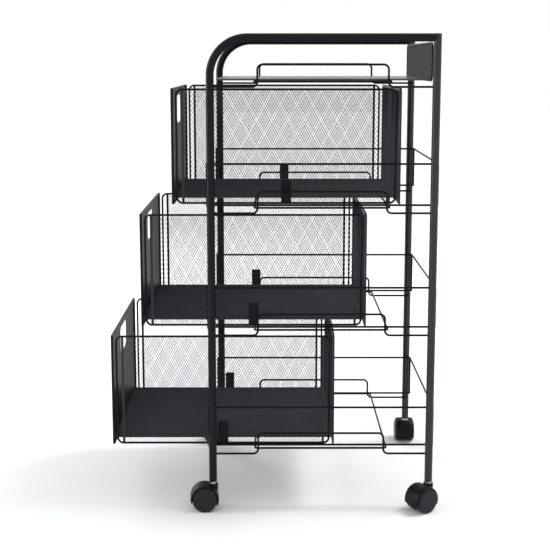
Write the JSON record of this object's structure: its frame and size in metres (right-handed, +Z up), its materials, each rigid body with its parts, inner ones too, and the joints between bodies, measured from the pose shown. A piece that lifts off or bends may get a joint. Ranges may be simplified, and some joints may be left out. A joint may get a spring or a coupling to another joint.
{
  "type": "rolling pantry cart",
  "caption": "Black wire and tube kitchen cart on swivel casters, with a flat top shelf and pull-out mesh baskets.",
  "frame": {"origin": "on the floor, in the middle of the footprint with the baskets pulled out as stored", "axes": "+X towards the back of the cart, away from the side where the baskets pull out; +Y towards the left side for a person who faces the front; +Z up"},
  "size_m": [0.5335, 0.3925, 0.767],
  "materials": {
    "frame_tube": "black powder coat, satin",
    "wire": "black powder coat on steel wire, satin",
    "sheet_metal": "black powder coat on folded sheet, satin",
    "expanded_mesh": "black powder coat on fine expanded metal",
    "plastic": "moulded black nylon, fine texture",
    "wheel": "moulded black nylon, smooth",
    "zinc": "zinc-plated steel"
  },
  "bodies": {
    "frame": {"side_tube_left": "frame_tube", "side_tube_right": "frame_tube", "rear_post_left": "frame_tube", "rear_post_right": "frame_tube", "post_caps": "plastic", "stem_sockets": "plastic", "caster_stems": "zinc", "top_tray": "sheet_metal", "guard_mesh": "expanded_mesh", "guard_frame": "wire", "side_guards_top": "wire", "side_guards_upper": "wire", "side_guards_middle": "wire", "side_guards_lower": "wire", "floor_ring_top": "wire", "floor_ring_upper": "wire", "floor_ring_middle": "wire", "floor_ring_lower": "wire", "slide_rails_upper": "wire", "slide_rails_middle": "wire", "slide_rails_lower": "wire", "back_wire_upper": "wire", "back_wire_middle": "wire", "back_wire_lower": "wire"},
    "upper_basket": {"upper_front": "sheet_metal", "upper_loops": "wire", "upper_sides": "expanded_mesh", "upper_floor": "expanded_mesh", "upper_back": "expanded_mesh", "upper_tabs": "wire"},
    "middle_basket": {"middle_front": "sheet_metal", "middle_loops": "wire", "middle_sides": "expanded_mesh", "middle_floor": "expanded_mesh", "middle_back": "expanded_mesh", "middle_tabs": "wire"},
    "lower_basket": {"lower_front": "sheet_metal", "lower_loops": "wire", "lower_sides": "expanded_mesh", "lower_floor": "expanded_mesh", "lower_back": "expanded_mesh", "lower_tabs": "wire"},
    "caster_front_left": {"hood_front_left": "plastic", "axle_front_left": "zinc"},
    "wheel_front_left_outer": {"wheel_front_left_outer": "wheel"},
    "wheel_front_left_inner": {"wheel_front_left_inner": "wheel"},
    "caster_front_right": {"hood_front_right": "plastic", "axle_front_right": "zinc"},
    "wheel_front_right_outer": {"wheel_front_right_outer": "wheel"},
    "wheel_front_right_inner": {"wheel_front_right_inner": "wheel"},
    "caster_rear_left": {"hood_rear_left": "plastic", "axle_rear_left": "zinc"},
    "wheel_rear_left_outer": {"wheel_rear_left_outer": "wheel"},
    "wheel_rear_left_inner": {"wheel_rear_left_inner": "wheel"},
    "caster_rear_right": {"hood_rear_right": "plastic", "axle_rear_right": "zinc"},
    "wheel_rear_right_outer": {"wheel_rear_right_outer": "wheel"},
    "wheel_rear_right_inner": {"wheel_rear_right_inner": "wheel"}
  },
  "joints": [
    {"name": "upper_basket_slide", "type": "slide", "parent": "frame", "child": "upper_basket", "axis": [-1, 0, 0], "range_m": [-0.0555, 0.118]},
    {"name": "middle_basket_slide", "type": "slide", "parent": "frame", "child": "middle_basket", "axis": [-1, 0, 0], "range_m": [-0.1075, 0.066]},
    {"name": "lower_basket_slide", "type": "slide", "parent": "frame", "child": "lower_basket", "axis": [-1, 0, 0], "range_m": [-0.1575, 0.016]},
    {"name": "caster_front_left_swivel", "type": "hinge", "parent": "frame", "child": "caster_front_left", "pos_m": [-0.1025, 0.161, 0.045], "axis": [0, 0, 1], "continuous": true},
    {"name": "wheel_front_left_outer_spin", "type": "hinge", "parent": "caster_front_left", "child": "wheel_front_left_outer", "pos_m": [-0.11566, 0.16579, 0.02], "axis": [0.342, 0.9397, 0], "continuous": true},
    {"name": "wheel_front_left_inner_spin", "type": "hinge", "parent": "caster_front_left", "child": "wheel_front_left_inner", "pos_m": [-0.11566, 0.16579, 0.02], "axis": [0.342, 0.9397, 0], "continuous": true},
    {"name": "caster_front_right_swivel", "type": "hinge", "parent": "frame", "child": "caster_front_right", "pos_m": [-0.1025, -0.161, 0.045], "axis": [0, 0, 1], "continuous": true},
    {"name": "wheel_front_right_outer_spin", "type": "hinge", "parent": "caster_front_right", "child": "wheel_front_right_outer", "pos_m": [-0.11647, -0.16198, 0.02], "axis": [-0.0698, 0.9976, 0], "continuous": true},
    {"name": "wheel_front_right_inner_spin", "type": "hinge", "parent": "caster_front_right", "child": "wheel_front_right_inner", "pos_m": [-0.11647, -0.16198, 0.02], "axis": [-0.0698, 0.9976, 0], "continuous": true},
    {"name": "caster_rear_left_swivel", "type": "hinge", "parent": "frame", "child": "caster_rear_left", "pos_m": [0.2485, 0.161, 0.045], "axis": [0, 0, 1], "continuous": true},
    {"name": "wheel_rear_left_outer_spin", "type": "hinge", "parent": "caster_rear_left", "child": "wheel_rear_left_outer", "pos_m": [0.2485, 0.175, 0.02], "axis": [1, 0, 0], "continuous": true},
    {"name": "wheel_rear_left_inner_spin", "type": "hinge", "parent": "caster_rear_left", "child": "wheel_rear_left_inner", "pos_m": [0.2485, 0.175, 0.02], "axis": [1, 0, 0], "continuous": true},
    {"name": "caster_rear_right_swivel", "type": "hinge", "parent": "frame", "child": "caster_rear_right", "pos_m": [0.2485, -0.161, 0.045], "axis": [0, 0, 1], "continuous": true},
    {"name": "wheel_rear_right_outer_spin", "type": "hinge", "parent": "caster_rear_right", "child": "wheel_rear_right_outer", "pos_m": [0.23689, -0.16883, 0.02], "axis": [-0.5592, 0.829, 0], "continuous": true},
    {"name": "wheel_rear_right_inner_spin", "type": "hinge", "parent": "caster_rear_right", "child": "wheel_rear_right_inner", "pos_m": [0.23689, -0.16883, 0.02], "axis": [-0.5592, 0.829, 0], "continuous": true}
  ]
}
